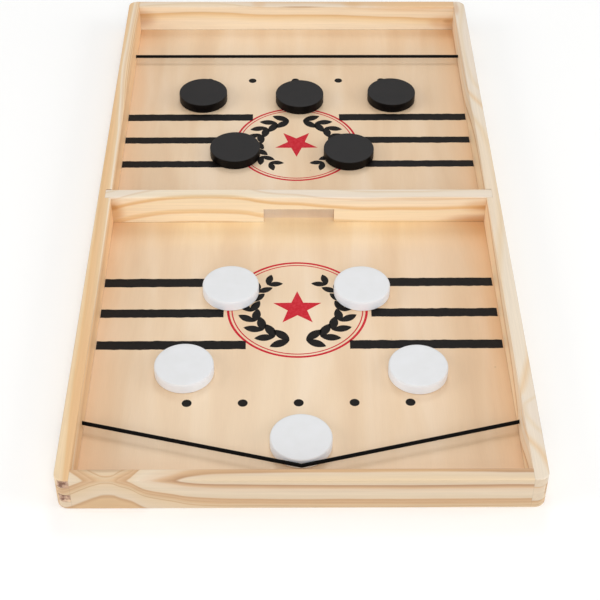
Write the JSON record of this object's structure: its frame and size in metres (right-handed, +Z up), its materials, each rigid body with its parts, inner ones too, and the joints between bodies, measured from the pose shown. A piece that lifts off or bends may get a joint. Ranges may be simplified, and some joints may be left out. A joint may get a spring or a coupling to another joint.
{
  "type": "sling puck board game",
  "caption": "Tabletop sling puck game: shallow finger-jointed wooden tray halved by a bar with a low gate, an elastic sling across each end, and round pucks to shoot through the gate.",
  "frame": {"origin": "on the table, under the centre of the tray's underside", "axes": "+X to the near player's right, +Y away from the near player along the tray's long side, +Z up"},
  "size_m": [0.3, 0.56, 0.026],
  "materials": {
    "pine": "pale knot-free pine, sanded and sealed satin",
    "plywood": "pale smooth plywood, screen printed, satin",
    "elastic": "black fabric-covered round elastic, matt",
    "white_puck": "smooth satin white",
    "black_puck": "smooth satin black"
  },
  "bodies": {
    "tray": {"left_rail": "pine", "right_rail": "pine", "front_rail": "pine", "back_rail": "pine", "play_board": "plywood", "gate_bar": "pine", "front_sling_knot_left": "elastic", "front_sling_knot_right": "elastic", "back_sling_knot_left": "elastic", "back_sling_knot_right": "elastic"},
    "front_sling_left": {"front_sling_left": "elastic"},
    "front_sling_right": {"front_sling_right": "elastic"},
    "back_sling_left": {"back_sling_left": "elastic"},
    "back_sling_right": {"back_sling_right": "elastic"},
    "white_puck_1": {"white_puck_1": "white_puck"},
    "white_puck_2": {"white_puck_2": "white_puck"},
    "white_puck_3": {"white_puck_3": "white_puck"},
    "white_puck_4": {"white_puck_4": "white_puck"},
    "white_puck_5": {"white_puck_5": "white_puck"},
    "black_puck_1": {"black_puck_1": "black_puck"},
    "black_puck_2": {"black_puck_2": "black_puck"},
    "black_puck_3": {"black_puck_3": "black_puck"},
    "black_puck_4": {"black_puck_4": "black_puck"},
    "black_puck_5": {"black_puck_5": "black_puck"}
  },
  "joints": [
    {"name": "launch", "type": "slide", "parent": "tray", "child": "white_puck_5", "axis": [0, 1, 0], "range_m": [0, 0.3466]},
    {"name": "front_sling_left_swing", "type": "hinge", "parent": "tray", "child": "front_sling_left", "pos_m": [-0.1405, -0.2165, 0.0085], "axis": [0, 0, 1], "range_deg": [0, 14.61], "deforming": ["front_sling_left"]},
    {"name": "front_sling_right_swing", "type": "hinge", "parent": "tray", "child": "front_sling_right", "pos_m": [0.1405, -0.2165, 0.0085], "axis": [0, 0, 1], "range_deg": [-14.61, 0], "deforming": ["front_sling_right"]},
    {"name": "back_sling_left_swing", "type": "hinge", "parent": "tray", "child": "back_sling_left", "pos_m": [-0.1405, 0.2165, 0.0085], "axis": [0, 0, 1], "range_deg": [0, 20], "stiffness_Nm_per_rad": 0.02, "deforming": ["back_sling_left"]},
    {"name": "back_sling_right_swing", "type": "hinge", "parent": "tray", "child": "back_sling_right", "pos_m": [0.1405, 0.2165, 0.0085], "axis": [0, 0, 1], "range_deg": [-20, 0], "deforming": ["back_sling_right"]},
    {"name": "white_puck_1_slide", "type": "slide", "parent": "tray", "child": "white_puck_1", "axis": [0, 1, 0], "range_m": [-0.045, 0.0527]},
    {"name": "white_puck_2_slide", "type": "slide", "parent": "tray", "child": "white_puck_2", "axis": [0, 1, 0], "range_m": [-0.0434, 0.061]},
    {"name": "white_puck_3_slide", "type": "slide", "parent": "tray", "child": "white_puck_3", "axis": [0, 1, 0], "range_m": [-0.0527, 0.0596]},
    {"name": "white_puck_4_slide", "type": "slide", "parent": "tray", "child": "white_puck_4", "axis": [0, 1, 0], "range_m": [-0.061, 0.0602]},
    {"name": "black_puck_1_slide", "type": "slide", "parent": "tray", "child": "black_puck_1", "axis": [0, 1, 0], "range_m": [-0.0498, 0.0367]},
    {"name": "black_puck_2_slide", "type": "slide", "parent": "tray", "child": "black_puck_2", "axis": [0, 1, 0], "range_m": [-0.0675, 0.0389]},
    {"name": "black_puck_3_slide", "type": "slide", "parent": "tray", "child": "black_puck_3", "axis": [0, 1, 0], "range_m": [-0.0691, 0.0362]},
    {"name": "black_puck_4_slide", "type": "slide", "parent": "tray", "child": "black_puck_4", "axis": [0, 1, 0], "range_m": [-0.055, 0.0498]},
    {"name": "black_puck_5_slide", "type": "slide", "parent": "tray", "child": "black_puck_5", "axis": [0, 1, 0], "range_m": [-0.0531, 0.0675]}
  ],
  "couplings": [
    {"joint": "front_sling_left_swing", "follows": "launch", "rad_per_m": 0.7357},
    {"joint": "front_sling_right_swing", "follows": "launch", "rad_per_m": -0.7357},
    {"joint": "back_sling_right_swing", "follows": "back_sling_left_swing", "ratio": -1}
  ]
}
